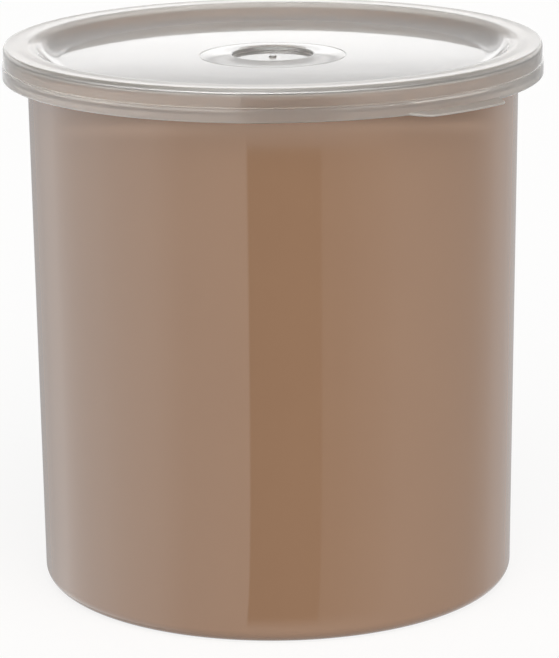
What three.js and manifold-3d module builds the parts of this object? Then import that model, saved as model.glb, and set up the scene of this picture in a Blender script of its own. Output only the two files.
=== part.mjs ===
// Condiment crock: a moulded plastic pot with a flexible lid that snaps over its rim.
//
// Millimetres, +Z up. The origin is the centre of the foot, on the surface the crock stands on, and the
// front faces -Y. Both pieces are turned about +Z. The lid's pull tab is the one feature off the axis.
import * as THREE from "three";
import { mergeVertices } from "three/addons/utils/BufferGeometryUtils.js";
import Module from "manifold-3d";

// Pot
const CROCK_HEIGHT = 169.6;
const FOOT_RADIUS = 74.7;
const SHOULDER_RADIUS = 76.3;
const WALL = 2.6;
const BASE = 3.0;
const FOOT_EDGE = 4.0;
const FOOT_RING_WIDTH = 6.5;
const FOOT_RECESS = 0.8;
const INSIDE_CORNER = 6.0;

// Pot rim: the wall bends outwards at the mouth and turns down again in a short lip.
const RIM_OVERHANG = 5.6;
const RIM_THICKNESS = 2.2;
const MOUTH_BEND = 3.7;
const RIM_CROWN = 20.0;
const RIM_EDGE = 0.9;
const RIM_FILLET = 1.0;
const LIP_THICKNESS = 2.0;
const LIP_DROP = 1.8;
const LIP_EDGE = 0.45;

// Lid
const FIT = 0.3;
const LID_WALL = 1.7;
const SKIRT_WALL = 1.4;
const LID_EDGE = 1.5;
const RECESS_DEPTH = 4.9;
const RECESS_BEND = 4.4;
const RECESS_FILLET = 9.5;
const FLOOR_RISE = 0.2;
const SKIRT_REACH = 4.0;
const TIER_STEP = 0.4;
const SKIRT_EDGE = 0.5;
const SKIRT_LEAD_IN = 0.4;
const SNAP_UNDERCUT = 0.3;
const SNAP_HEIGHT = 1.6;

// Moulding gate in the middle of the lid: a low cone with a dished top and a nub.
const CONE_RADIUS = 22.7;
const CONE_RISE = 0.5;
const DISH_RADIUS = 12.6;
const DISH_DEPTH = 1.0;
const DISH_EDGE = 0.4;
const NUB_RADIUS = 1.2;
const NUB_HEIGHT = 0.6;

// Pull tab: a thin flat lip at the foot of the skirt, towards the front right.
const TAB_BEARING = 40.3;
const TAB_REACH = 5.4;
const TAB_THICKNESS = 0.9;
const TAB_ROOT_WIDTH = 36.5;
const TAB_END_WIDTH = 30.0;
const TAB_CORNER = 6.0;
const TAB_OVERLAP = 1.0;

const TURN_SEGMENTS = 64;
const TAB_SEGMENTS = 240;

const QUARTER = Math.PI / 2;

// Sizes that follow from the ones above
const innerRadius = SHOULDER_RADIUS - WALL;
const rimRadius = SHOULDER_RADIUS + RIM_OVERHANG;
const rimUnderside = CROCK_HEIGHT - RIM_THICKNESS;
const lipBottom = rimUnderside - LIP_DROP;
const bendCentre = new THREE.Vector2(innerRadius + MOUTH_BEND, CROCK_HEIGHT - MOUTH_BEND);
const crownCentre = new THREE.Vector2(bendCentre.x, CROCK_HEIGHT - RIM_CROWN);

const lidTop = CROCK_HEIGHT + FIT + LID_WALL;
const floorEdge = lidTop - RECESS_DEPTH;
const floorMiddle = floorEdge + FLOOR_RISE;
const upperTier = rimRadius + FIT + SKIRT_WALL;
const lowerTier = upperTier + TIER_STEP;
const skirtBottom = lipBottom - SKIRT_REACH;

// The lid's level land ends over the pot's wall, where it bends down and runs into the recess fillet.
const brinkCentre = new THREE.Vector2(SHOULDER_RADIUS, lidTop - RECESS_BEND);
const filletRise = floorEdge + RECESS_FILLET - brinkCentre.y;
const filletReach = Math.sqrt((RECESS_BEND + RECESS_FILLET) ** 2 - filletRise ** 2);
const filletCentre = new THREE.Vector2(brinkCentre.x - filletReach, brinkCentre.y + filletRise);
const brinkEnd = Math.PI - Math.atan2(filletRise, filletReach);

const wasm = await Module();
wasm.setup();

/** Point in a turned profile: distance from the axis and height. */
function at(radius, height) {
  return new THREE.Vector2(radius, height);
}

/** Points along an arc, both ends included; angles are in radians from the outward direction. */
function arc(centre, radius, from, to, steps) {
  const points = [];
  for (let i = 0; i <= steps; i += 1) {
    const angle = from + ((to - from) * i) / steps;
    points.push(at(centre.x + radius * Math.cos(angle), centre.y + radius * Math.sin(angle)));
  }
  return points;
}

/** Low dome on the axis, from its rim to its top. */
function dome(radius, base, height, steps) {
  return arc(at(0, 0), 1, 0, QUARTER, steps).map((p) => at(radius * p.x, base + height * p.y));
}

/** Crowned top running out to an upright side of the given radius, with a rounded edge between them. */
function crownToSide(centre, crownRadius, sideRadius, edge, steps) {
  const aside = sideRadius - edge - centre.x;
  const above = Math.sqrt((crownRadius - edge) ** 2 - aside ** 2);
  const meeting = Math.atan2(above, aside);
  return [
    ...arc(centre, crownRadius, QUARTER, meeting, steps),
    ...arc(at(centre.x + aside, centre.y + above), edge, meeting, 0, 3).slice(1),
  ];
}

/** Mesh data with shared vertices merged and collapsed triangles left out. */
function weld(geometry) {
  geometry.deleteAttribute("normal");
  geometry.deleteAttribute("uv");
  const merged = mergeVertices(geometry, 1e-4);
  const index = merged.getIndex().array;
  const kept = [];
  for (let i = 0; i < index.length; i += 3) {
    const [a, b, c] = [index[i], index[i + 1], index[i + 2]];
    if (a !== b && b !== c && c !== a) {
      kept.push(a, b, c);
    }
  }
  merged.setIndex(kept);
  return merged;
}

/** Solid of revolution about +Z from a profile of radius and height, run anticlockwise. */
function turn(profile, segments = TURN_SEGMENTS) {
  const geometry = new THREE.LatheGeometry(profile, segments);
  geometry.rotateX(QUARTER);
  return weld(geometry);
}

function toSolid(geometry) {
  const mesh = new wasm.Mesh({
    numProp: 3,
    vertProperties: new Float32Array(geometry.getAttribute("position").array),
    triVerts: new Uint32Array(geometry.getIndex().array),
  });
  return new wasm.Manifold(mesh);
}

function toGeometry(solid) {
  const { vertProperties, triVerts } = solid.getMesh();
  const geometry = new THREE.BufferGeometry();
  geometry.setAttribute("position", new THREE.BufferAttribute(vertProperties, 3));
  geometry.setIndex(new THREE.BufferAttribute(triVerts, 1));
  geometry.computeVertexNormals();
  return geometry;
}

/** Underside of the pot: a flat foot ring round a shallow recess, up to the foot's rounded edge. */
function footProfile() {
  const ringInner = FOOT_RADIUS - FOOT_EDGE - FOOT_RING_WIDTH;
  return [
    at(0, FOOT_RECESS),
    at(ringInner - FOOT_RECESS, FOOT_RECESS),
    at(ringInner, 0),
    ...arc(at(FOOT_RADIUS - FOOT_EDGE, FOOT_EDGE), FOOT_EDGE, -QUARTER, 0, 7),
  ];
}

/** Turned-down rim, from under the overhang, round the lip and over the crown to the mouth. */
function rimProfile() {
  const lipInner = rimRadius - LIP_THICKNESS;
  const lipEdge = Math.min(LIP_EDGE, LIP_THICKNESS / 3);
  const fillet = Math.min(RIM_FILLET, LIP_DROP - lipEdge, (RIM_OVERHANG - LIP_THICKNESS) / 3);
  const filletHeight = rimUnderside - fillet;
  const edgeHeight = lipBottom + lipEdge;
  return [
    ...arc(at(SHOULDER_RADIUS + fillet, filletHeight), fillet, Math.PI, QUARTER, 3),
    ...arc(at(lipInner - fillet, filletHeight), fillet, QUARTER, 0, 3),
    ...arc(at(lipInner + lipEdge, edgeHeight), lipEdge, Math.PI, Math.PI + QUARTER, 2),
    ...arc(at(rimRadius - lipEdge, edgeHeight), lipEdge, -QUARTER, 0, 2),
    ...crownToSide(crownCentre, RIM_CROWN, rimRadius, RIM_EDGE, 2).reverse(),
  ];
}

/** Inside of the pot, from the mouth's bend down the drafted wall to the middle of the base. */
function insideProfile() {
  const floorCorner = at(FOOT_RADIUS - WALL - INSIDE_CORNER, BASE + INSIDE_CORNER);
  return [
    ...arc(bendCentre, MOUTH_BEND, QUARTER, Math.PI, 6).slice(1),
    ...arc(floorCorner, INSIDE_CORNER, 0, -QUARTER, 6),
    at(0, BASE),
  ];
}

function makeCrock() {
  return turn([...footProfile(), ...rimProfile(), ...insideProfile()]);
}

/** Underside of the lid: below the floor, up the recess wall and over the pot's rim with a fitting gap. */
function undersideProfile() {
  return [
    at(0, floorMiddle - LID_WALL),
    at(CONE_RADIUS, floorMiddle - LID_WALL),
    ...arc(filletCentre, RECESS_FILLET + LID_WALL, -QUARTER, brinkEnd - Math.PI, 5),
    ...arc(brinkCentre, RECESS_BEND - LID_WALL, brinkEnd, QUARTER, 3).slice(1),
    ...crownToSide(crownCentre, RIM_CROWN + FIT, rimRadius + FIT, RIM_EDGE + FIT, 2),
  ];
}

/** Skirt: down the inside past the snap bead, round the bottom edge and up both outer tiers. */
function skirtProfile() {
  const inside = rimRadius + FIT;
  const beadTop = lipBottom - FIT;
  const beadRadius = rimRadius - SNAP_UNDERCUT;
  const beadPeak = beadTop - SNAP_HEIGHT / 2;
  const beadFoot = beadTop - SNAP_HEIGHT;
  return [
    at(inside, beadTop),
    at(beadRadius, beadPeak),
    at(inside, beadFoot),
    at(inside, skirtBottom + SKIRT_LEAD_IN),
    at(inside + SKIRT_LEAD_IN, skirtBottom),
    ...arc(at(lowerTier - SKIRT_EDGE, skirtBottom + SKIRT_EDGE), SKIRT_EDGE, -QUARTER, 0, 3),
    ...arc(at(lowerTier - TIER_STEP, lipBottom), TIER_STEP, 0, QUARTER, 2),
  ];
}

/** Top of the lid: rounded edge, level land, the bend down into the recess and its fillet to the floor. */
function topProfile() {
  return [
    ...arc(at(upperTier - LID_EDGE, lidTop - LID_EDGE), LID_EDGE, 0, QUARTER, 5),
    ...arc(brinkCentre, RECESS_BEND, QUARTER, brinkEnd, 4),
    ...arc(filletCentre, RECESS_FILLET, brinkEnd - Math.PI, -QUARTER, 5).slice(1),
  ];
}

/** Middle of the lid: the low cone, its dished top and the nub the gate leaves. */
function gateProfile() {
  const coneTop = floorMiddle + CONE_RISE;
  const dishFloor = coneTop - DISH_DEPTH;
  return [
    at(CONE_RADIUS, floorMiddle),
    ...arc(at(DISH_RADIUS + DISH_EDGE, coneTop - DISH_EDGE), DISH_EDGE, QUARTER, Math.PI, 3),
    at(DISH_RADIUS, dishFloor),
    ...dome(NUB_RADIUS, dishFloor, NUB_HEIGHT, 3),
  ];
}

/** Plan of the tab seen from above, pointing along +X. Its tip is left open to the ring's own edge. */
function tabPlan() {
  const onCircle = (radius, half) => at(Math.sqrt(radius ** 2 - half ** 2), half);
  const tipRadius = lowerTier + TAB_REACH;
  const beyond = tipRadius + TAB_OVERLAP;
  const halfTip = TAB_END_WIDTH / 2 - TAB_CORNER;
  const root = onCircle(lowerTier - TAB_OVERLAP, TAB_ROOT_WIDTH / 2);
  const corner = onCircle(tipRadius, TAB_END_WIDTH / 2);
  const tip = onCircle(tipRadius, halfTip);
  const flank = corner.clone().sub(corner.clone().sub(root).setLength(TAB_CORNER));
  const shape = new THREE.Shape();
  shape.moveTo(root.x, -root.y);
  shape.lineTo(flank.x, -flank.y);
  shape.quadraticCurveTo(corner.x, -corner.y, tip.x, -tip.y);
  shape.lineTo(beyond, -halfTip);
  shape.lineTo(beyond, halfTip);
  shape.lineTo(tip.x, tip.y);
  shape.quadraticCurveTo(corner.x, corner.y, flank.x, flank.y);
  shape.lineTo(root.x, root.y);
  return shape;
}

/** Pull tab: a ring as thick as the tab, kept only inside the tab's plan. */
function makeTab() {
  const round = TAB_THICKNESS / 2;
  const rootRadius = lowerTier - TAB_OVERLAP;
  const tipCentre = at(lowerTier + TAB_REACH - round, skirtBottom + round);
  const ring = turn(
    [
      at(rootRadius, skirtBottom),
      ...arc(tipCentre, round, -QUARTER, QUARTER, 6),
      at(rootRadius, skirtBottom + TAB_THICKNESS),
      at(rootRadius, skirtBottom),
    ],
    TAB_SEGMENTS,
  );
  const block = new THREE.ExtrudeGeometry(tabPlan(), { depth: TAB_THICKNESS * 3, bevelEnabled: false });
  block.translate(0, 0, skirtBottom - TAB_THICKNESS);
  block.rotateZ(THREE.MathUtils.degToRad(TAB_BEARING) - QUARTER);
  return toSolid(ring).intersect(toSolid(weld(block)));
}

function makeLid() {
  const body = turn([...undersideProfile(), ...skirtProfile(), ...topProfile(), ...gateProfile()]);
  return toGeometry(toSolid(body).add(makeTab()));
}

const tanPlastic = new THREE.MeshStandardMaterial({ color: 0x96755c, roughness: 0.18, metalness: 0 });
const milkyPlastic = new THREE.MeshStandardMaterial({
  color: 0xe4ded6,
  roughness: 0.28,
  metalness: 0,
  transparent: true,
  opacity: 0.55,
});

const crock = new THREE.Mesh(makeCrock(), tanPlastic);
crock.name = "crock";
crock.geometry.computeVertexNormals();

const lid = new THREE.Mesh(makeLid(), milkyPlastic);
lid.name = "lid";

const condimentCrock = new THREE.Group();
condimentCrock.add(crock, lid);

export default condimentCrock;
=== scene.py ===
"""Studio scene of a condiment crock: a turned tan pot under a milky, see-through press-fit lid.

Both mouldings are turned from a half outline by one Geometry Nodes tree. The outlines are drawn in
millimetres as corners with fillets; the frame gives the heights and radii that the corners hang on.
"""

import logging
import math
from dataclasses import dataclass, field
from enum import Enum

import bpy
from mathutils import Matrix, Vector


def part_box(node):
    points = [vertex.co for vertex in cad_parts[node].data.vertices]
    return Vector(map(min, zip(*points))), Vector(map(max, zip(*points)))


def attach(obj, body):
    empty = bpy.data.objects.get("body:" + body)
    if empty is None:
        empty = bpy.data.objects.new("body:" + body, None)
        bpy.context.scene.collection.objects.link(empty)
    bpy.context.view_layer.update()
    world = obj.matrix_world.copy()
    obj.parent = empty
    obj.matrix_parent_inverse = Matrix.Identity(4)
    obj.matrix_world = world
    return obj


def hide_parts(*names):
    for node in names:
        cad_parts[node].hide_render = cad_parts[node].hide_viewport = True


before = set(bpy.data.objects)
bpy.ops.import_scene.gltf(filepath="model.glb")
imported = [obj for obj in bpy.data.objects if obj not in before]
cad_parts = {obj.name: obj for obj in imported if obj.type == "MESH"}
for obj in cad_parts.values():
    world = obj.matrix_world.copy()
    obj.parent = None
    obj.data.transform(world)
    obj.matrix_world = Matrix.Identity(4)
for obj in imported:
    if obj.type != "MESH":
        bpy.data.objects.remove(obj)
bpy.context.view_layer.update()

MM = 0.001
# Less than any size on the object, in metres or in millimetres.
TINY = 1e-6
# Brightness at which a glowing face renders white.
WHITE = 1.0
# Degrees from the front to the back.
HALF_TURN = 180
MATH = "ShaderNodeMath"
LOG = logging.getLogger("crock")


class Part(Enum):
    """Names that the frame gives to each moulding: its node, its body and its material slot."""

    CROCK = "crock"
    LID = "lid"


class HiddenFrom(Enum):
    """Kinds of ray that pass the mirrored floor by."""

    CAMERA = "visible_camera"
    DIFFUSE = "visible_diffuse"
    SHADOW = "visible_shadow"


def linear(hex_colour: str) -> tuple[float, float, float, float]:
    """Turns an sRGB hex colour into linear light.

    Args:
        hex_colour: colour such as "#97755C".

    Returns:
        Red, green, blue and an alpha of one.
    """
    shares = [int(hex_colour[i:i + 2], 16) / 255 for i in (1, 3, 5)]
    light = [s / 12.92 if s <= 0.04045 else ((s + 0.055) / 1.055) ** 2.4 for s in shares]
    return (*light, 1.0)


def add_node(
    tree: bpy.types.NodeTree, kind: str, inputs: dict | None = None, **settings: object
) -> bpy.types.Node:
    """Adds a node with its settings, and links or sets its inputs.

    A Mix node is filled by place: its factor is at 0, two numbers are at 2 and 3, and two colours
    are at 6 and 7.

    Args:
        tree: node tree that takes the node.
        kind: Blender's name for the kind of node.
        inputs: source socket or plain value for each input, by name or by place.
        **settings: the node's own properties.

    Returns:
        The new node.
    """
    node = tree.nodes.new(kind)
    for name, value in settings.items():
        setattr(node, name, value)
    for key, value in (inputs or {}).items():
        if isinstance(value, bpy.types.NodeSocket):
            tree.links.new(value, node.inputs[key])
        else:
            node.inputs[key].default_value = value
    return node


def blank_material(name: str) -> bpy.types.Material:
    """Starts a node material.

    Args:
        name: name of the material.

    Returns:
        The material, whose node tree is still empty.
    """
    material = bpy.data.materials.new(name)
    material.use_nodes = True
    material.node_tree.nodes.clear()
    return material


@dataclass(frozen=True)
class Corner:
    """Corner of a half outline in millimetres: distance from the axis, height and fillet radius."""

    radius: float
    height: float
    fillet: float = 0.0


@dataclass
class Outline:
    """Half outline of a turned moulding, given as corners and drawn as points.

    Straight runs get a support point close to each end, so that smooth shading stays flat on them.
    """

    corners: list[Corner]
    arc_step: float = math.radians(7.0)
    fewest_steps: int = 3
    least_turn: float = 1e-4
    support: float = 0.25
    shortest_run: float = 1.0
    longest_run: float = 9.0

    def points(self) -> list[Vector]:
        """Draws the whole outline.

        Returns:
            Its points, as radius and height in millimetres.
        """
        places = [Vector((c.radius, c.height)) for c in self.corners]
        drawn = [places[0]]
        for i in range(1, len(places) - 1):
            arc = self.rounded(places[i - 1], places[i], places[i + 1], self.corners[i].fillet)
            drawn += self.run(drawn[-1], arc[0])
            drawn += arc
        return drawn + self.run(drawn[-1], places[-1]) + [places[-1]]

    def rounded(self, before: Vector, corner: Vector, after: Vector, fillet: float) -> list[Vector]:
        """Draws the fillet of one corner.

        Args:
            before: corner that comes before it.
            corner: the corner itself.
            after: corner that comes after it.
            fillet: radius of the fillet, or zero for a sharp corner.

        Returns:
            Points of the arc, both ends included.
        """
        back = (before - corner).normalized()
        on = (after - corner).normalized()
        turn = math.pi - back.angle(on)
        if fillet == 0.0 or turn < self.least_turn:
            return [corner]
        cut = fillet * math.tan(turn / 2)
        centre = corner + (back + on).normalized() * (fillet / math.cos(turn / 2))
        start = corner + back * cut - centre
        side = 1.0 if back.x * on.y - back.y * on.x < 0 else -1.0
        steps = max(self.fewest_steps, math.ceil(turn / self.arc_step))
        spins = [Matrix.Rotation(side * turn * i / steps, 2) for i in range(steps + 1)]
        return [centre + spin @ start for spin in spins]

    def run(self, start: Vector, end: Vector) -> list[Vector]:
        """Draws a straight run.

        Args:
            start: where the run starts.
            end: where it ends.

        Returns:
            The points between its two ends.
        """
        length = (end - start).length
        if length < self.shortest_run:
            return []
        count = max(1, math.ceil(length / self.longest_run))
        marks = [length * i / count for i in range(1, count)]
        marks = [self.support, *marks, length - self.support]
        return [start.lerp(end, mark / length) for mark in marks]


@dataclass(frozen=True)
class PullTab:
    """Thin flat lip at the foot of the skirt that a finger pulls, in millimetres and degrees."""

    bearing: float = 40.3
    reach: float = 5.4
    thickness: float = 0.9
    tip_thickness: float = 0.62
    tip_fullness: float = 2.2
    root_width: float = 36.5
    end_width: float = 30.0
    corner: float = 0.35

    @property
    def tip_round(self) -> float:
        """Fillet of the tip, a little under half its thickness."""
        return self.tip_thickness / self.tip_fullness

    def flank(self, radius: float) -> tuple[float, float]:
        """Gives the tab's sides as distances round the skirt.

        Args:
            radius: radius of the skirt.

        Returns:
            Half the arc where the sides start, and how fast the reach grows from there, as a share
            of the full reach for each millimetre.
        """
        root = radius * math.asin(self.root_width / 2 / radius)
        end = radius * math.asin(self.end_width / 2 / (radius + self.reach))
        return root, 1.0 / (root - end)


def turning_tree() -> bpy.types.NodeTree:
    """Builds the tree that turns a half outline about +Z and draws a tab out of its skirt.

    Returns:
        The node tree, with an input for each size.
    """
    tree = bpy.data.node_groups.new("turned_moulding", "GeometryNodeTree")
    for name, kind in (
        ("Outline", "NodeSocketGeometry"),
        ("Segments", "NodeSocketInt"),
        ("Crowding", "NodeSocketFloat"),
        ("Tab Bearing", "NodeSocketFloat"),
        ("Skirt Radius", "NodeSocketFloat"),
        ("Tab Half Root", "NodeSocketFloat"),
        ("Tab Flank", "NodeSocketFloat"),
        ("Tab Corner", "NodeSocketFloat"),
        ("Finish", "NodeSocketMaterial"),
    ):
        tree.interface.new_socket(name, in_out="INPUT", socket_type=kind)
    tree.interface.new_socket("Moulding", in_out="OUTPUT", socket_type="NodeSocketGeometry")
    given = add_node(tree, "NodeGroupInput").outputs

    # A sheet has a row for each outline point, and a column for each step round the axis.
    size = add_node(tree, "GeometryNodeAttributeDomainSize", {"Geometry": given["Outline"]})
    rows = size.outputs["Point Count"]
    columns = add_node(tree, MATH, {0: given["Segments"], 1: 1.0}, operation="ADD").outputs[0]
    sheet = add_node(tree, "GeometryNodeMeshGrid", {"Vertices X": columns, "Vertices Y": rows})
    index = add_node(tree, "GeometryNodeInputIndex").outputs["Index"]
    row = add_node(tree, MATH, {0: index, 1: rows}, operation="MODULO").outputs[0]
    first = add_node(tree, MATH, {0: index, 1: row}, operation="SUBTRACT").outputs[0]
    column = add_node(tree, MATH, {0: first, 1: rows}, operation="DIVIDE").outputs[0]

    # Columns start half a turn away from the tab, and crowd together as they come near it.
    done = add_node(tree, MATH, {0: column, 1: given["Segments"]}, operation="DIVIDE").outputs[0]
    share = add_node(tree, MATH, {0: done, 1: 0.5}, operation="SUBTRACT").outputs[0]
    sweep = add_node(tree, MATH, {0: share, 1: math.tau}, operation="MULTIPLY").outputs[0]
    wave = add_node(tree, MATH, {0: sweep}, operation="SINE").outputs[0]
    crowd = add_node(tree, MATH, {0: wave, 1: given["Crowding"]}, operation="MULTIPLY").outputs[0]
    swing = add_node(tree, MATH, {0: sweep, 1: crowd}, operation="SUBTRACT").outputs[0]
    bearing = add_node(tree, MATH, {0: swing, 1: given["Tab Bearing"]}, operation="ADD").outputs[0]

    # The tab's reach grows along its sides, and is held between none and all of it.
    away = add_node(tree, MATH, {0: swing}, operation="ABSOLUTE").outputs[0]
    aside = add_node(tree, MATH, {0: away, 1: given["Skirt Radius"]}, operation="MULTIPLY").outputs[0]
    inside = add_node(tree, MATH, {0: given["Tab Half Root"], 1: aside}, operation="SUBTRACT").outputs[0]
    grown = add_node(tree, MATH, {0: inside, 1: given["Tab Flank"]}, operation="MULTIPLY").outputs[0]
    capped = add_node(tree, MATH, {0: grown, 1: 1.0, 2: given["Tab Corner"]}, operation="SMOOTH_MIN")
    drawn = add_node(tree, MATH, {0: capped.outputs[0], 1: 0.0}, operation="MAXIMUM").outputs[0]

    # Each sheet point takes its outline point, moved by its pull, and is turned to its bearing.
    place = add_node(tree, "GeometryNodeInputPosition").outputs["Position"]
    pull = add_node(tree, "GeometryNodeInputNamedAttribute", {"Name": "pull"}, data_type="FLOAT_VECTOR")
    rest, moved = (
        add_node(
            tree,
            "GeometryNodeSampleIndex",
            {"Geometry": given["Outline"], "Value": value, "Index": row},
            data_type="FLOAT_VECTOR",
            domain="POINT",
        ).outputs[0]
        for value in (place, pull.outputs["Attribute"])
    )
    shift = add_node(tree, "ShaderNodeVectorMath", {0: moved, "Scale": drawn}, operation="SCALE")
    point = add_node(tree, "ShaderNodeVectorMath", {0: rest, 1: shift.outputs[0]}, operation="ADD")
    part = add_node(tree, "ShaderNodeSeparateXYZ", {0: point.outputs[0]}).outputs
    sine = add_node(tree, MATH, {0: bearing}, operation="SINE").outputs[0]
    cosine = add_node(tree, MATH, {0: bearing}, operation="COSINE").outputs[0]
    across = add_node(tree, MATH, {0: part["X"], 1: sine}, operation="MULTIPLY").outputs[0]
    ahead = add_node(tree, MATH, {0: part["X"], 1: cosine}, operation="MULTIPLY").outputs[0]
    back = add_node(tree, MATH, {0: ahead, 1: -1.0}, operation="MULTIPLY").outputs[0]
    turned = add_node(tree, "ShaderNodeCombineXYZ", {"X": across, "Y": back, "Z": part["Z"]})

    shaped = add_node(
        tree, "GeometryNodeSetPosition", {"Geometry": sheet.outputs["Mesh"], "Position": turned.outputs[0]}
    )
    closed = add_node(tree, "GeometryNodeMergeByDistance", {"Geometry": shaped.outputs[0], "Distance": TINY})
    smooth = add_node(tree, "GeometryNodeSetShadeSmooth", {"Geometry": closed.outputs[0]})
    real = add_node(tree, "GeometryNodeRealizeInstances", {"Geometry": smooth.outputs[0]})
    dressed = add_node(
        tree, "GeometryNodeSetMaterial", {"Geometry": real.outputs[0], "Material": given["Finish"]}
    )
    add_node(tree, "NodeGroupOutput", {"Moulding": dressed.outputs[0]})
    return tree


def turn(
    name: str,
    points: list[Vector],
    pulls: list[Vector],
    sizes: dict[str, object],
    tree: bpy.types.NodeTree,
) -> bpy.types.Object:
    """Turns a half outline into a plain mesh object.

    Args:
        name: name of the piece.
        points: outline points, as radius and height in millimetres.
        pulls: how far the tab draws each of those points.
        sizes: values for the tree's inputs, by input name.
        tree: the turning tree.

    Returns:
        The piece, at the origin, with its place in its mesh.
    """
    outline = bpy.data.meshes.new(f"{name}_outline")
    outline.from_pydata([(p.x * MM, 0.0, p.y * MM) for p in points], [], [])
    drawn = outline.attributes.new("pull", "FLOAT_VECTOR", "POINT")
    for datum, pull in zip(drawn.data, pulls):
        datum.vector = (pull.x * MM, 0.0, pull.y * MM)
    piece = bpy.data.objects.new(name, outline)
    bpy.context.scene.collection.objects.link(piece)
    modifier = piece.modifiers.new("turning", "NODES")
    modifier.node_group = tree
    for item in tree.interface.items_tree:
        if item.in_out == "INPUT" and item.name in sizes:
            modifier[item.identifier] = sizes[item.name]
    evaluated = piece.evaluated_get(bpy.context.evaluated_depsgraph_get())
    mesh = bpy.data.meshes.new_from_object(evaluated)
    piece.modifiers.clear()
    piece.data = mesh
    mesh.name = name
    bpy.data.meshes.remove(outline)
    return piece


def dress(piece: bpy.types.Object, part: Part) -> None:
    """Lets a finished piece stand for its node and ride on its body.

    Args:
        piece: the finished piece.
        part: the moulding that it is.
    """
    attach(piece, part.value)
    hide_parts(part.value)


@dataclass(frozen=True)
class TanStyrene:
    """Moulded styrene copolymer, opaque tan, off a polished mould.

    The eye sees an even warm tan under a clear, nearly mirror-like skin. Close up, the pigment is
    a little uneven and the skin has the slow ripple of a polished mould. Sizes are in millimetres.
    """

    colour: str = "#98775D"
    deep: str = "#94735A"
    ior: float = 1.57
    sheen_low: float = 0.035
    sheen_high: float = 0.06
    cloud_size: float = 34.0
    cloud_detail: float = 4.0
    cloud_roughness: float = 0.6
    ripple_size: float = 22.0
    ripple_detail: float = 1.0
    ripple_height: float = 0.004

    def material(self) -> bpy.types.Material:
        """Makes the finish.

        Returns:
            The node material.
        """
        made = blank_material("moulded_styrene_tan")
        tree = made.node_tree
        place = add_node(tree, "ShaderNodeTexCoord").outputs["Object"]
        cloud = add_node(
            tree,
            "ShaderNodeTexNoise",
            {
                "Vector": place,
                "Scale": 1 / (self.cloud_size * MM),
                "Detail": self.cloud_detail,
                "Roughness": self.cloud_roughness,
            },
        ).outputs["Fac"]
        tint = add_node(
            tree,
            "ShaderNodeMix",
            {0: cloud, 6: linear(self.deep), 7: linear(self.colour)},
            data_type="RGBA",
        )
        sheen = add_node(
            tree,
            "ShaderNodeMapRange",
            {"Value": cloud, "To Min": self.sheen_low, "To Max": self.sheen_high},
        )
        ripple = add_node(
            tree,
            "ShaderNodeTexNoise",
            {"Vector": place, "Scale": 1 / (self.ripple_size * MM), "Detail": self.ripple_detail},
        )
        bump = add_node(
            tree,
            "ShaderNodeBump",
            {"Height": ripple.outputs["Fac"], "Strength": 1.0, "Distance": self.ripple_height * MM},
        )
        skin = add_node(
            tree,
            "ShaderNodeBsdfPrincipled",
            {
                "Base Color": tint.outputs[2],
                "Roughness": sheen.outputs[0],
                "IOR": self.ior,
                "Normal": bump.outputs[0],
            },
        )
        add_node(tree, "ShaderNodeOutputMaterial", {"Surface": skin.outputs[0]})
        return made


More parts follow.
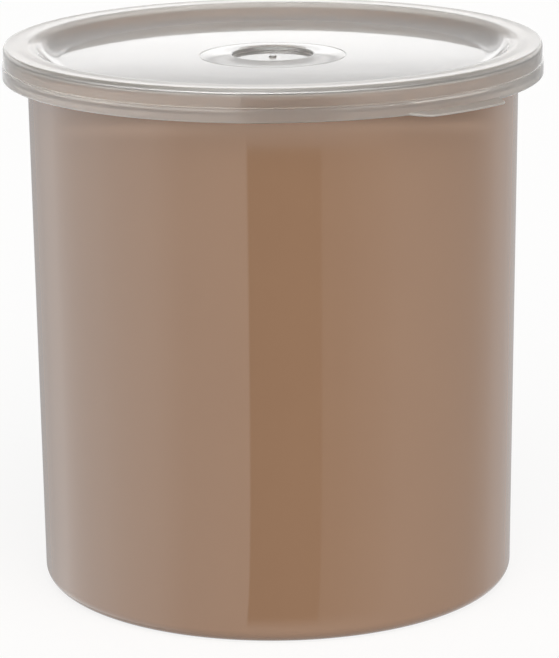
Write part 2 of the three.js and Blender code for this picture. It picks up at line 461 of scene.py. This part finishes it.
@dataclass(frozen=True)
class MilkyPolyethylene:
    """Moulded low-density polyethylene in its natural, undyed state.

    The eye sees a clear skin over a faintly milky body: what touches it from behind shows through
    softly, and light that comes from behind makes it glow. Stacking has scuffed the rim's land,
    which is duller and milkier, and the tab is frosted. Sizes are in millimetres.
    """

    colour: str = "#F8F1E8"
    ior: float = 1.51
    transmission: float = 0.94
    haze: float = 0.28
    skin: float = 1.0
    skin_roughness: float = 0.04
    frosted: float = 0.8
    frost_fade: float = 0.4
    worn_skin: float = 0.6
    worn_milk: float = 0.12
    worn_depth: float = 1.3
    worn_fade: float = 0.6
    flow_size: float = 30.0
    flow_detail: float = 1.0
    flow_height: float = 0.02

    def material(self, top: float, skirt: float) -> bpy.types.Material:
        """Makes the finish.

        Args:
            top: height of the rim, whose land is scuffed, in millimetres.
            skirt: radius of the skirt, beyond which only the tab reaches, in millimetres.

        Returns:
            The node material.
        """
        made = blank_material("moulded_polyethylene_natural")
        tree = made.node_tree
        place = add_node(tree, "ShaderNodeTexCoord").outputs["Object"]
        flow = add_node(
            tree,
            "ShaderNodeTexNoise",
            {"Vector": place, "Scale": 1 / (self.flow_size * MM), "Detail": self.flow_detail},
        )
        bump = add_node(
            tree,
            "ShaderNodeBump",
            {"Height": flow.outputs["Fac"], "Strength": 1.0, "Distance": self.flow_height * MM},
        )
        height = add_node(tree, "ShaderNodeSeparateXYZ", {0: place}).outputs["Z"]
        level = add_node(
            tree, "ShaderNodeVectorMath", {0: place, 1: (1.0, 1.0, 0.0)}, operation="MULTIPLY"
        ).outputs[0]
        radius = add_node(tree, "ShaderNodeVectorMath", {0: level}, operation="LENGTH").outputs["Value"]
        clear = add_node(
            tree,
            "ShaderNodeMapRange",
            {
                "Value": radius,
                "From Min": skirt * MM,
                "From Max": (skirt + self.frost_fade) * MM,
                "To Min": self.transmission,
                "To Max": self.frosted,
            },
        )
        scuffed = (top - self.worn_depth) * MM
        worn = add_node(
            tree,
            "ShaderNodeMapRange",
            {"Value": height, "From Min": scuffed, "From Max": scuffed + self.worn_fade * MM},
        ).outputs[0]
        gloss = add_node(
            tree,
            "ShaderNodeMapRange",
            {"Value": worn, "To Min": self.skin, "To Max": self.worn_skin},
        )
        dimmed = add_node(
            tree, MATH, {0: worn, 1: -self.worn_milk, 2: clear.outputs[0]}, operation="MULTIPLY_ADD"
        )
        body = add_node(
            tree,
            "ShaderNodeBsdfPrincipled",
            {
                "Base Color": linear(self.colour),
                "Roughness": self.haze,
                "IOR": self.ior,
                "Transmission Weight": dimmed.outputs[0],
                "Coat Weight": gloss.outputs[0],
                "Coat Roughness": self.skin_roughness,
                "Coat IOR": self.ior,
                "Normal": bump.outputs[0],
                "Coat Normal": bump.outputs[0],
            },
        )
        add_node(tree, "ShaderNodeOutputMaterial", {"Surface": body.outputs[0]})
        return made


@dataclass
class Crock:
    """Tan pot in one moulding: foot, drafted wall and a rim that bends out and turns down in a lip.

    Sizes are in millimetres.
    """

    height: float
    rim_radius: float
    finish: TanStyrene = field(default_factory=TanStyrene)
    rim_overhang: float = 5.6
    foot_radius: float = 74.7
    wall: float = 2.6
    base: float = 3.0
    foot_edge: float = 4.0
    foot_ring: float = 6.5
    foot_recess: float = 0.8
    inside_corner: float = 6.0
    rim_thickness: float = 2.2
    mouth_bend: float = 3.7
    rim_crown: float = 20.0
    crown_fall: float = math.radians(10.4)
    rim_edge: float = 0.9
    rim_fillet: float = 1.0
    lip_thickness: float = 2.0
    lip_drop: float = 1.8
    lip_edge: float = 0.45
    segments: int = 288

    @property
    def shoulder(self) -> float:
        """Radius of the wall under the rim."""
        return self.rim_radius - self.rim_overhang

    @property
    def crown_start(self) -> float:
        """Radius at which the rim's level top starts to fall."""
        return self.shoulder - self.wall + self.mouth_bend

    def corners(self) -> list[Corner]:
        """Draws the pot's half outline.

        Returns:
            Its corners, from under the base up the outside and down the inside.
        """
        under = self.height - self.rim_thickness
        lip = under - self.lip_drop
        lip_inner = self.rim_radius - self.lip_thickness
        ring_inner = self.foot_radius - self.foot_edge - self.foot_ring
        crown = self.crown_start + self.rim_crown * math.tan(self.crown_fall / 2)
        edge = self.height - (self.rim_radius - crown) * math.tan(self.crown_fall)
        return [
            Corner(0.0, self.foot_recess),
            Corner(ring_inner - self.foot_recess, self.foot_recess, self.foot_recess),
            Corner(ring_inner, 0.0, self.foot_recess / 2),
            Corner(self.foot_radius, 0.0, self.foot_edge),
            Corner(self.shoulder, under, self.rim_fillet),
            Corner(lip_inner, under, self.rim_fillet),
            Corner(lip_inner, lip, self.lip_edge),
            Corner(self.rim_radius, lip, self.lip_edge),
            Corner(self.rim_radius, edge, self.rim_edge),
            Corner(crown, self.height, self.rim_crown),
            Corner(self.shoulder - self.wall, self.height, self.mouth_bend),
            Corner(self.foot_radius - self.wall, self.base, self.inside_corner),
            Corner(0.0, self.base),
        ]

    def build(self, tree: bpy.types.NodeTree) -> bpy.types.Object:
        """Turns the pot and dresses it.

        Args:
            tree: the turning tree.

        Returns:
            The finished piece.
        """
        points = Outline(self.corners()).points()
        sizes = {"Segments": self.segments, "Finish": self.finish.material()}
        piece = turn("crock_moulding", points, [Vector((0.0, 0.0))] * len(points), sizes, tree)
        dress(piece, Part.CROCK)
        return piece


@dataclass
class Lid:
    """Milky lid in one moulding: sunk floor, channel over the pot's rim, stepped skirt and pull tab.

    Sizes are in millimetres.
    """

    crock: Crock
    top: float
    skirt_radius: float
    finish: MilkyPolyethylene = field(default_factory=MilkyPolyethylene)
    tab: PullTab = field(default_factory=PullTab)
    fit: float = 0.3
    wall: float = 1.7
    # Rim: a rounded edge, and a land that is a little hollow.
    edge_reach: float = 0.5
    edge_drop: float = 1.0
    edge_brow: float = 0.5
    edge_cheek: float = 2.4
    land_fall: float = 0.03
    land_hollow: float = 0.05
    hollow_round: float = 60.0
    # Recess: its bend and fillet stay just short of meeting, and its floor bows up to the middle.
    recess_depth: float = 4.9
    recess_bend: float = 4.4
    recess_fillet: float = 9.5
    recess_ease: float = 0.98
    floor_rise: float = 0.2
    bow_radius: float = 44.0
    bow_share: float = 0.78
    bow_fillet: float = 7500.0
    # Skirt: two tiers outside, and the snap bead inside.
    skirt_reach: float = 4.0
    tier_step: float = 0.4
    ledge_edge: float = 0.06
    skirt_edge: float = 0.5
    lead_in: float = 0.4
    snap_undercut: float = 0.3
    snap_height: float = 1.6
    snap_round: float = 0.6
    crease: float = 0.12
    # Gate: a low cone with a groove round its foot, a dished top and a nub.
    cone_radius: float = 22.7
    cone_rise: float = 0.5
    waist_radius: float = 18.0
    waist_rise: float = 0.02
    waist_round: float = 106.0
    groove_width: float = 0.36
    groove_depth: float = 0.14
    dish_radius: float = 12.6
    dish_depth: float = 1.2
    dish_edge: float = 0.4
    dish_corner: float = 0.2
    nub_radius: float = 1.2
    nub_height: float = 0.6
    nub_round: float = 0.48
    segments: int = 304
    crowding: float = 0.75

    @property
    def floor_edge(self) -> float:
        """Height of the sunk floor at its edge."""
        return self.top - self.recess_depth

    @property
    def floor_middle(self) -> float:
        """Height of the sunk floor at the foot of the gate's cone."""
        return self.floor_edge + self.floor_rise

    @property
    def upper_radius(self) -> float:
        """Radius of the skirt's upper tier."""
        return self.skirt_radius - self.tier_step

    @property
    def lip(self) -> float:
        """Height of the pot's lip, where the skirt's step lies."""
        return self.crock.height - self.crock.rim_thickness - self.crock.lip_drop

    @property
    def skirt_bottom(self) -> float:
        """Height of the skirt's lower edge."""
        return self.lip - self.skirt_reach

    @property
    def skirt_land(self) -> float:
        """Radius at which the skirt's flat lower edge starts."""
        return self.crock.rim_radius + self.fit + self.lead_in

    def recess(self, inset: float) -> list[Corner]:
        """Draws the wall of the recess, whose bend and fillet run into each other.

        Args:
            inset: how far under the lid's top face the wanted face lies.

        Returns:
            The corners at the wall's top and foot.
        """
        bend = self.recess_bend - inset
        fillet = self.recess_fillet + inset
        depth = self.recess_depth - self.land_fall
        slope = math.acos(1 - depth / (bend + fillet))
        brink = self.crock.shoulder - bend * math.tan(slope / 2)
        foot = brink - depth / math.tan(slope)
        return [
            Corner(brink, self.floor_edge + depth - inset, bend * self.recess_ease),
            Corner(foot, self.floor_edge - inset, fillet * self.recess_ease),
        ]

    def channel(self) -> list[Corner]:
        """Draws the underside.

        Returns:
            Its corners, below the floor, up the recess wall and over the pot's rim.
        """
        pot = self.crock
        under = self.floor_middle - self.wall
        roof = pot.height + self.fit
        inside = pot.rim_radius + self.fit
        crown = pot.crown_start + (pot.rim_crown + self.fit) * math.tan(pot.crown_fall / 2)
        edge = roof - (inside - crown) * math.tan(pot.crown_fall)
        bead = self.lip - self.fit
        return [
            Corner(0.0, under),
            Corner(self.cone_radius, under, self.wall),
            *reversed(self.recess(self.wall)),
            Corner(crown, roof, pot.rim_crown + self.fit),
            Corner(inside, edge, pot.rim_edge + self.fit),
            Corner(inside, bead, self.snap_round),
            Corner(pot.rim_radius - self.snap_undercut, bead - self.snap_height / 2, self.snap_round),
            Corner(inside, bead - self.snap_height, self.snap_round),
            Corner(inside, self.skirt_bottom + self.lead_in, self.crease),
            Corner(self.skirt_land, self.skirt_bottom, self.crease),
        ]

    def skirt(self) -> list[Corner]:
        """Draws the outside with the tab drawn out.

        Returns:
            Its corners, round the tab and up both tiers of the skirt.
        """
        tip = self.skirt_radius + self.tab.reach
        tip_top = self.skirt_bottom + self.tab.tip_thickness
        ledge = self.lip + self.tier_step
        return [
            Corner(tip, self.skirt_bottom, self.tab.tip_round),
            Corner(tip, tip_top, self.tab.tip_round),
            Corner(self.skirt_radius, self.skirt_bottom + self.tab.thickness, self.crease),
            Corner(self.skirt_radius, ledge, self.ledge_edge),
            Corner(self.upper_radius, ledge, self.ledge_edge),
        ]

    def lid_top(self) -> list[Corner]:
        """Draws the top.

        Returns:
            Its corners, over the rim's land, down into the recess and up the gate's low cone.
        """
        floor = self.floor_middle
        half_groove = self.groove_width / 2
        hollow = (self.upper_radius + self.crock.shoulder) / 2
        cone_top = floor + self.cone_rise
        dish = cone_top - self.dish_depth
        return [
            Corner(self.upper_radius, self.top - self.edge_drop, self.edge_cheek),
            Corner(self.upper_radius - self.edge_reach, self.top, self.edge_brow),
            Corner(hollow, self.top - self.land_fall - self.land_hollow, self.hollow_round),
            *self.recess(0.0),
            Corner(self.bow_radius, self.floor_edge + self.bow_share * self.floor_rise, self.bow_fillet),
            Corner(self.cone_radius + half_groove, floor, self.groove_depth),
            Corner(self.cone_radius, floor - self.groove_depth, self.groove_depth),
            Corner(self.cone_radius - half_groove, floor, self.groove_depth),
            Corner(self.waist_radius, floor + self.waist_rise, self.waist_round),
            Corner(self.dish_radius, cone_top, self.dish_edge),
            Corner(self.dish_radius, dish, self.dish_corner),
            Corner(self.nub_radius, dish, self.crease),
            Corner(self.nub_radius, dish + self.nub_height, self.nub_round),
            Corner(0.0, dish + self.nub_height),
        ]

    def without_tab(self, point: Vector) -> Vector:
        """Gives the place of an outline point where the skirt has no tab.

        Args:
            point: radius and height on the outline that has the tab drawn out.

        Returns:
            Radius and height on the plain skirt.
        """
        low = point.y - self.skirt_bottom
        if point.x <= self.skirt_land or low > self.tab.thickness + self.crease or point.y > self.lip:
            return point
        round_start = self.skirt_radius - self.skirt_edge
        if low < TINY:
            share = (point.x - self.skirt_land) / (self.skirt_radius + self.tab.reach - self.skirt_land)
            return Vector((self.skirt_land + share * (round_start - self.skirt_land), point.y))
        below = max(self.skirt_edge - low, 0.0)
        return Vector((round_start + math.sqrt(self.skirt_edge**2 - below**2), point.y))

    def build(self, tree: bpy.types.NodeTree) -> bpy.types.Object:
        """Turns the lid, draws out its tab and dresses it.

        Args:
            tree: the turning tree.

        Returns:
            The finished piece.
        """
        drawn = Outline(self.channel() + self.skirt() + self.lid_top()).points()
        plain = [self.without_tab(p) for p in drawn]
        half_root, flank = self.tab.flank(self.skirt_radius)
        sizes = {
            "Segments": self.segments,
            "Crowding": self.crowding,
            "Tab Bearing": math.radians(self.tab.bearing),
            "Skirt Radius": self.skirt_radius,
            "Tab Half Root": half_root,
            "Tab Flank": flank,
            "Tab Corner": self.tab.corner,
            "Finish": self.finish.material(self.top, self.skirt_radius),
        }
        pulls = [there - here for there, here in zip(drawn, plain)]
        piece = turn("lid_moulding", plain, pulls, sizes, tree)
        dress(piece, Part.LID)
        return piece


@dataclass(frozen=True)
class Viewpoint:
    """Camera of the studio shot, in metres and degrees; it looks along +Y and down."""

    position: tuple[float, float, float] = (0.0, -0.9959, 0.3404)
    pitch: float = 14.719
    yaw: float = 0.070
    roll: float = -0.597
    lens: float = 177.32

    def build(self) -> None:
        """Makes the camera and gives it to the scene."""
        data = bpy.data.cameras.new("studio_camera")
        data.lens = self.lens
        camera = bpy.data.objects.new("studio_camera", data)
        bpy.context.scene.collection.objects.link(camera)
        pitch, yaw, roll = (math.radians(a) for a in (self.pitch, self.yaw, self.roll))
        ahead = Vector((math.sin(yaw) * math.cos(pitch), math.cos(yaw) * math.cos(pitch), -math.sin(pitch)))
        level = Vector((math.cos(yaw), -math.sin(yaw), 0.0))
        up = level.cross(ahead)
        right = level * math.cos(roll) + up * math.sin(roll)
        top = right.cross(ahead)
        turned = Matrix((right, top, -ahead)).transposed()
        camera.matrix_world = Matrix.Translation(self.position) @ turned.to_4x4()
        bpy.context.scene.camera = camera


@dataclass(frozen=True)
class Glow:
    """Broad patch of soft light in the surround: where it is in degrees, its level and how narrow it is."""

    azimuth: float
    elevation: float
    level: float
    narrowness: float

    def direction(self) -> tuple[float, float, float]:
        """Works out where the patch is.

        Returns:
            The direction from the piece to the middle of the patch.
        """
        azimuth, elevation = math.radians(self.azimuth), math.radians(self.elevation)
        level = math.cos(elevation)
        return (level * math.sin(azimuth), -level * math.cos(azimuth), math.sin(elevation))

    def seen(self, tree: bpy.types.NodeTree, ray: bpy.types.NodeSocket) -> bpy.types.NodeSocket:
        """Draws the patch in the world.

        Args:
            tree: node tree of the world.
            ray: direction of the ray.

        Returns:
            Share of the patch's level that the ray sees.
        """
        toward = add_node(
            tree, "ShaderNodeVectorMath", {0: ray, 1: self.direction()}, operation="DOT_PRODUCT"
        ).outputs["Value"]
        facing = add_node(tree, MATH, {0: toward, 1: 0.0}, operation="MAXIMUM").outputs[0]
        return add_node(tree, MATH, {0: facing, 1: self.narrowness}, operation="POWER").outputs[0]


@dataclass(frozen=True)
class Tone:
    """Brightness of the mirrored floor at one azimuth, in degrees to the right of the front."""

    azimuth: float
    level: float


@dataclass(frozen=True)
class Band:
    """Distance in metres at which the mirrored floor changes, and its shares of gap and strip there."""

    reach: float
    gap: float = 0.0
    strip: float = 0.0


@dataclass
class Studio:
    """White sweep, soft light all round and the light and dark floor that the glossy wall mirrors."""

    viewpoint: Viewpoint
    wall_radius: float
    floor_side: float = 12.0
    floor_colour: str = "#ABAAA8"
    # Share and level of the floor's own glow to the camera, which keep it white round the shadow.
    floor_glow: float = 0.5
    floor_level: float = 1.62
    # Level of the floor's glow as it comes through the milky lid.
    veiled: float = 0.6
    card_height: float = 0.0002
    card_step: int = 1
    # The mirrored floor is lit brighter to the left, and dimmer straight to both sides.
    glow: tuple[Tone, ...] = (
        Tone(-180, 0.8),
        Tone(-90, 0.36),
        Tone(-79, 0.62),
        Tone(-70, 1.12),
        Tone(-62, 1.9),
        Tone(-45, 2.2),
        Tone(-30, 1.85),
        Tone(-22, 1.3),
        Tone(-12, 1.15),
        Tone(0, 1.0),
        Tone(35, 1.0),
        Tone(50, 0.9),
        Tone(62, 1.07),
        Tone(75, 0.78),
        Tone(90, 0.32),
        Tone(180, 0.8),
    )
    # A dark gap in front of the sweep, sharp on both sides and fading on to the right.
    gap: tuple[Tone, ...] = (
        Tone(-7.5, 1.0),
        Tone(-7.1, 0.06),
        Tone(8.9, 0.06),
        Tone(9.3, 0.4),
        Tone(14, 0.5),
        Tone(18, 0.66),
        Tone(22, 0.76),
        Tone(27, 0.97),
        Tone(31, 1.0),
    )
    # A bright, warm strip at the table's far edge lifts the wall's shadow under the lid.
    strip: tuple[Tone, ...] = (
        Tone(-60, 0.0),
        Tone(-46, 0.7),
        Tone(-30, 2.0),
        Tone(14, 2.0),
        Tone(46, 1.0),
        Tone(60, 0.0),
    )
    strip_colour: str = "#FFE0C8"
    bands: tuple[Band, ...] = (
        Band(0.0),
        Band(0.012),
        Band(0.022, gap=1.0),
        Band(0.683, gap=1.0),
        Band(0.685),
        Band(0.71),
        Band(0.738, strip=1.4),
        Band(0.75),
        Band(0.855),
    )
    # Degrees for each metre by which the table's tones lean to the right.
    lean: float = 2.0
    # Beyond the table, which only the lid's skirt mirrors, the sides are dimmer.
    beyond: tuple[Tone, ...] = (
        Tone(-90, 1.0),
        Tone(-80, 0.8),
        Tone(-70, 0.5),
        Tone(-58, 0.55),
        Tone(-40, 1.2),
        Tone(-8.5, 1.1),
        Tone(-7.5, 0.08),
        Tone(4.5, 0.08),
        Tone(9.5, 0.25),
        Tone(10.5, 0.5),
        Tone(18.5, 1.0),
        Tone(42, 1.05),
        Tone(60, 0.55),
        Tone(72, 0.42),
        Tone(80, 0.66),
        Tone(90, 0.9),
    )
    beyond_reach: tuple[float, ...] = (0.875, 3.0)
    # Backdrop as glossy faces mirror it: sine of the elevation and brightness.
    backdrop: tuple[tuple[float, float], ...] = (
        (0.0, 1.6),
        (0.11, 1.7),
        (0.13, 2.3),
        (0.16, 2.25),
        (0.172, 1.95),
        (0.1805, 1.45),
        (0.1855, 1.1),
        (0.1879, 0.9),
        (0.1906, 0.82),
        (0.2, 1.5),
        (0.225, 1.5),
        (0.26, 0.95),
        (0.32, 0.85),
        (0.5, 1.0),
        (0.8, 1.5),
        (1.0, 1.7),
    )
    # Lights for the lid's rounded edge, which only glossy faces mirror: one over the front, and one
    # low in front that fades out between two sines of the elevation.
    brow: Glow = Glow(-14, 42, 4.0, 12.0)
    key: Glow = Glow(-14, -12, 15.0, 1.5)
    key_end: tuple[float, float] = (0.2, 0.27)
    # Even light, and light from the front, the right, overhead and behind.
    ambient: float = 0.02
    glows: tuple[Glow, ...] = (
        Glow(-8, 12, 2.35, 1.9),
        Glow(48, 12, 1.75, 3.5),
        Glow(0, 90, 0.6, 2.0),
        Glow(180, 15, 0.8, 3.0),
    )

    def level(self, tones: tuple[Tone, ...], azimuth: float) -> float:
        """Reads a row of tones, straight between its stops and level beyond them.

        Args:
            tones: the row, from left to right.
            azimuth: where to read it, in degrees.

        Returns:
            The brightness there.
        """
        if azimuth <= tones[0].azimuth:
            return tones[0].level
        for low, high in zip(tones, tones[1:]):
            if azimuth <= high.azimuth:
                share = (azimuth - low.azimuth) / (high.azimuth - low.azimuth)
                return low.level + share * (high.level - low.level)
        return tones[-1].level

    def spoke(self, azimuth: float) -> tuple[list[tuple[float, float, float]], list[Vector]]:
        """Draws the line on the floor that the camera sees mirrored at one azimuth of the wall.

        Behind the pot, where the camera sees no wall, the line runs straight on.

        Args:
            azimuth: place on the wall, in degrees to the right of the front.

        Returns:
            The line's points, from the wall outwards, and the colour of each.
        """
        warm = Vector(linear(self.strip_colour)[:3])
        white = Vector((1.0, 1.0, 1.0))
        glow, gap = self.level(self.glow, azimuth), self.level(self.gap, azimuth)
        strip = self.level(self.strip, azimuth)
        colours = [white * glow * (1 - b.gap * (1 - gap)) + warm * b.strip * strip for b in self.bands]
        colours += [white * self.level(self.beyond, azimuth)] * len(self.beyond_reach)
        eye = Vector(self.viewpoint.position).xy
        lean = self.lean * math.cos(math.radians(azimuth))
        table = self.bands[-1].reach
        places = []
        for reach in (*(b.reach for b in self.bands), *self.beyond_reach):
            angle = math.radians(azimuth + lean * min(reach, table))
            out = Vector((math.sin(angle), -math.cos(angle)))
            start = out * self.wall_radius
            away = (start - eye).normalized()
            if away.dot(out) < 0:
                away = away.reflect(out)
            places.append((*(start + away * reach), self.card_height))
        return places, colours

    def mirrored_floor(self) -> bpy.types.Object:
        """Lays the floor that only mirrored and refracted rays see, as a fan of spokes round the wall.

        Returns:
            The card, whose points carry their colour.
        """
        stops = {t.azimuth for t in self.glow + self.gap + self.beyond}
        azimuths = sorted(stops | set(range(-HALF_TURN, HALF_TURN + 1, self.card_step)))
        places, colours = [], []
        for azimuth in azimuths:
            line, shades = self.spoke(azimuth)
            places += line
            colours += shades
        count = len(places) // len(azimuths)
        faces = [
            (i * count + j, (i + 1) * count + j, (i + 1) * count + j + 1, i * count + j + 1)
            for i in range(len(azimuths) - 1)
            for j in range(count - 1)
        ]
        mesh = bpy.data.meshes.new("mirrored_floor")
        mesh.from_pydata(places, [], faces)
        tone = mesh.attributes.new("tone", "FLOAT_VECTOR", "POINT")
        tone.data.foreach_set("vector", [share for colour in colours for share in colour])
        card = bpy.data.objects.new("mirrored_floor", mesh)
        material = blank_material("floor_tones")
        tree = material.node_tree
        colour = add_node(tree, "ShaderNodeAttribute", attribute_name="tone").outputs["Color"]
        light = add_node(tree, "ShaderNodeEmission", {"Color": colour})
        add_node(tree, "ShaderNodeOutputMaterial", {"Surface": light.outputs[0]})
        mesh.materials.append(material)
        for ray in HiddenFrom:
            setattr(card, ray.value, False)
        return card

    def sweep(self) -> bpy.types.Object:
        """Lays the white floor: plain to light, and white to the camera apart from the shadow.

        Returns:
            The floor.
        """
        half = self.floor_side / 2
        square = [(-half, -half, 0), (half, -half, 0), (half, half, 0), (-half, half, 0)]
        mesh = bpy.data.meshes.new("sweep")
        mesh.from_pydata(square, [], [(0, 1, 2, 3)])
        material = blank_material("white_sweep")
        tree = material.node_tree
        path = add_node(tree, "ShaderNodeLightPath").outputs
        seen = add_node(
            tree,
            MATH,
            {0: path["Is Camera Ray"], 1: self.floor_glow, 2: path["Is Glossy Ray"]},
            operation="MULTIPLY_ADD",
        )
        glowing = add_node(
            tree, MATH, {0: seen.outputs[0], 1: path["Is Transmission Ray"]}, operation="MAXIMUM"
        )
        lit = add_node(tree, "ShaderNodeBsdfDiffuse", {"Color": linear(self.floor_colour)})
        lifted = add_node(tree, "ShaderNodeMix", {0: path["Is Camera Ray"], 2: WHITE, 3: self.floor_level})
        level = add_node(
            tree,
            "ShaderNodeMix",
            {0: path["Is Transmission Ray"], 2: lifted.outputs[0], 3: self.veiled},
        )
        glow = add_node(tree, "ShaderNodeEmission", {"Strength": level.outputs[0]})
        mixed = add_node(
            tree, "ShaderNodeMixShader", {0: glowing.outputs[0], 1: lit.outputs[0], 2: glow.outputs[0]}
        )
        add_node(tree, "ShaderNodeOutputMaterial", {"Surface": mixed.outputs[0]})
        mesh.materials.append(material)
        return bpy.data.objects.new("sweep", mesh)

    def soft_light(self, tree: bpy.types.NodeTree, ray: bpy.types.NodeSocket) -> bpy.types.NodeSocket:
        """Adds up the light that falls on the object.

        Args:
            tree: node tree of the world.
            ray: direction of the ray.

        Returns:
            Its brightness in that direction.
        """
        level = self.ambient
        for glow in self.glows:
            level = add_node(
                tree, MATH, {0: glow.seen(tree, ray), 1: glow.level, 2: level}, operation="MULTIPLY_ADD"
            ).outputs[0]
        return level

    def mirrored_light(self, tree: bpy.types.NodeTree, ray: bpy.types.NodeSocket) -> bpy.types.NodeSocket:
        """Draws the backdrop and the lights that glossy faces mirror.

        Args:
            tree: node tree of the world.
            ray: direction of the ray.

        Returns:
            Their brightness in that direction.
        """
        height = add_node(tree, "ShaderNodeSeparateXYZ", {0: ray}).outputs["Z"]
        level = self.backdrop[0][1]
        for (low, dim), (high, bright) in zip(self.backdrop, self.backdrop[1:]):
            rise = add_node(
                tree,
                "ShaderNodeMapRange",
                {"Value": height, "From Min": low, "From Max": high, "To Min": 0.0, "To Max": bright - dim},
            ).outputs[0]
            level = add_node(tree, MATH, {0: level, 1: rise}, operation="ADD").outputs[0]
        low, high = self.key_end
        key_level = add_node(
            tree,
            "ShaderNodeMapRange",
            {"Value": height, "From Min": low, "From Max": high, "To Min": self.key.level, "To Max": 0.0},
        ).outputs[0]
        for glow, strength in ((self.brow, self.brow.level), (self.key, key_level)):
            level = add_node(
                tree, MATH, {0: glow.seen(tree, ray), 1: strength, 2: level}, operation="MULTIPLY_ADD"
            ).outputs[0]
        return level

    def surround(self) -> None:
        """Sets the world: soft light, a backdrop for glossy faces and a white view for the camera."""
        world = bpy.data.worlds.new("studio")
        bpy.context.scene.world = world
        world.use_nodes = True
        tree = world.node_tree
        tree.nodes.clear()
        path = add_node(tree, "ShaderNodeLightPath").outputs
        ray = add_node(tree, "ShaderNodeTexCoord").outputs["Generated"]
        level = self.mirrored_light(tree, ray)
        lit = self.soft_light(tree, ray)
        mirrored = add_node(tree, "ShaderNodeMix", {0: path["Is Glossy Ray"], 2: lit, 3: level}).outputs[0]
        through = add_node(
            tree, "ShaderNodeMix", {0: path["Is Transmission Ray"], 2: mirrored, 3: lit}
        ).outputs[0]
        seen = add_node(tree, "ShaderNodeMix", {0: path["Is Camera Ray"], 2: through, 3: WHITE}).outputs[0]
        light = add_node(tree, "ShaderNodeBackground", {"Strength": seen})
        add_node(tree, "ShaderNodeOutputWorld", {"Surface": light.outputs[0]})

    def build(self) -> None:
        """Sets up the stage and the world."""
        for stage in (self.sweep(), self.mirrored_floor()):
            bpy.context.scene.collection.objects.link(stage)
        self.surround()
        bpy.context.scene.view_settings.view_transform = "Standard"


def main() -> None:
    """Builds the pot, the lid and the studio round them."""
    logging.basicConfig(level=logging.INFO, format="%(name)s: %(message)s")
    pot_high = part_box(Part.CROCK.value)[1] / MM
    lid_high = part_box(Part.LID.value)[1] / MM
    tree = turning_tree()
    crock = Crock(height=pot_high.z, rim_radius=pot_high.x)
    lid = Lid(crock=crock, top=lid_high.z, skirt_radius=lid_high.x)
    for moulding in (crock, lid):
        piece = moulding.build(tree)
        LOG.info("%s: %d faces", piece.name, len(piece.data.polygons))
    viewpoint = Viewpoint()
    viewpoint.build()
    Studio(viewpoint=viewpoint, wall_radius=crock.foot_radius * MM).build()


if __name__ == "__main__":
    main()
